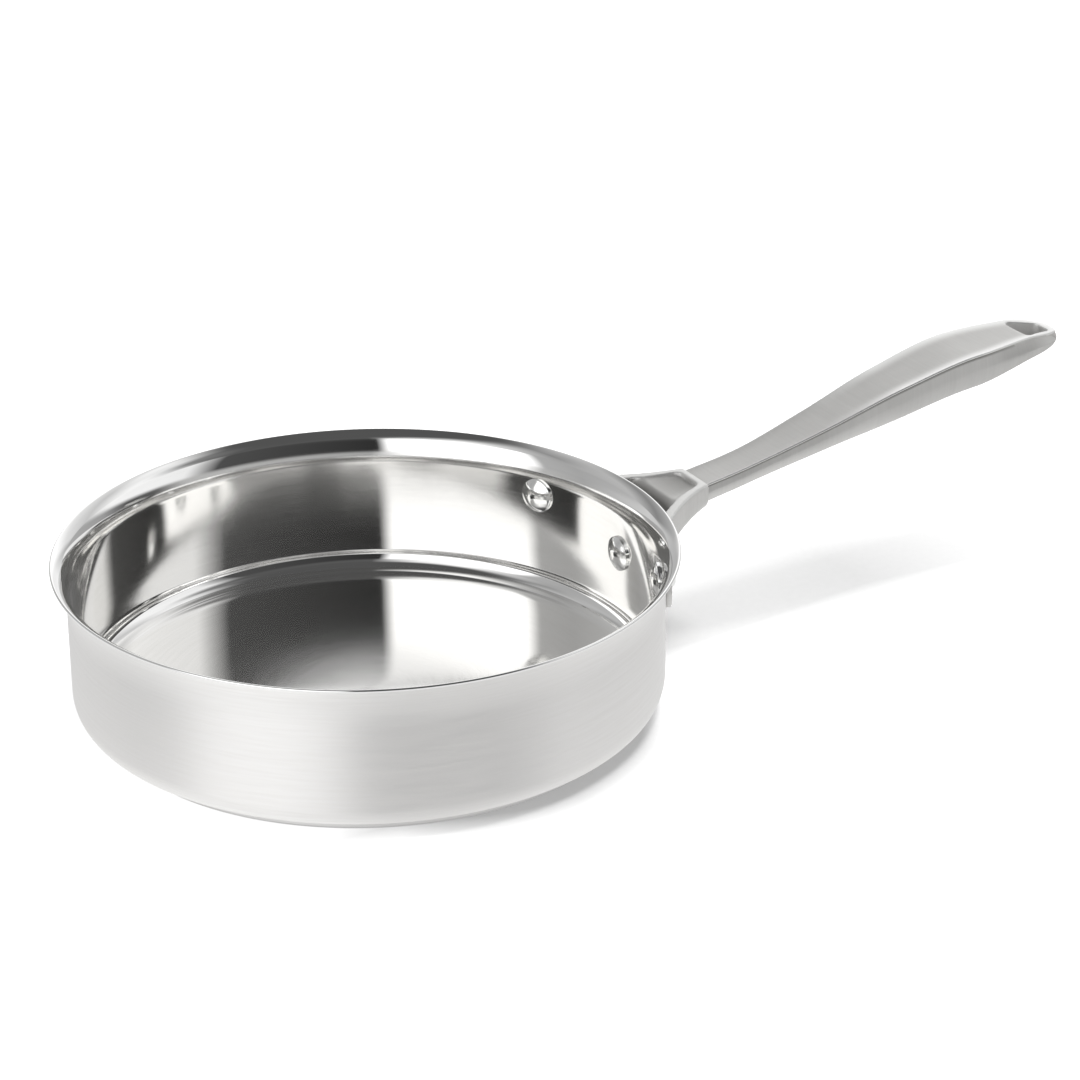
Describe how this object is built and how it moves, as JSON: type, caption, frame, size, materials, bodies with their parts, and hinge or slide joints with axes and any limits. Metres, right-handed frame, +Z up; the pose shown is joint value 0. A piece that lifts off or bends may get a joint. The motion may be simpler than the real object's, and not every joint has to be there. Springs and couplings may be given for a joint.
{
  "type": "saute pan",
  "caption": "Straight-sided stainless saute pan with a flared pouring rim, a capped disc base and a long riveted cast handle with a hanging hole.",
  "frame": {"origin": "middle of the base, on the surface that the pan stands on", "axes": "+Z up along the pan's axis, +X out along the handle, +Y to the left as seen from behind the handle"},
  "size_m": [0.4714, 0.256, 0.1001],
  "materials": {
    "polished_stainless": "polished inside and at the rim, fine circular brushing outside",
    "core_aluminium": "plain, sealed inside the base",
    "base_stainless": "satin with circular brushing",
    "cast_stainless": "satin casting with polished edges",
    "rivet_stainless": "polished domed heads"
  },
  "bodies": {
    "root": {"pan_body": "polished_stainless", "base_core_disc": "core_aluminium", "base_cap": "base_stainless", "handle": "cast_stainless", "rivet_upper_left": "rivet_stainless", "rivet_upper_right": "rivet_stainless", "rivet_lower": "rivet_stainless"}
  },
  "joints": []
}
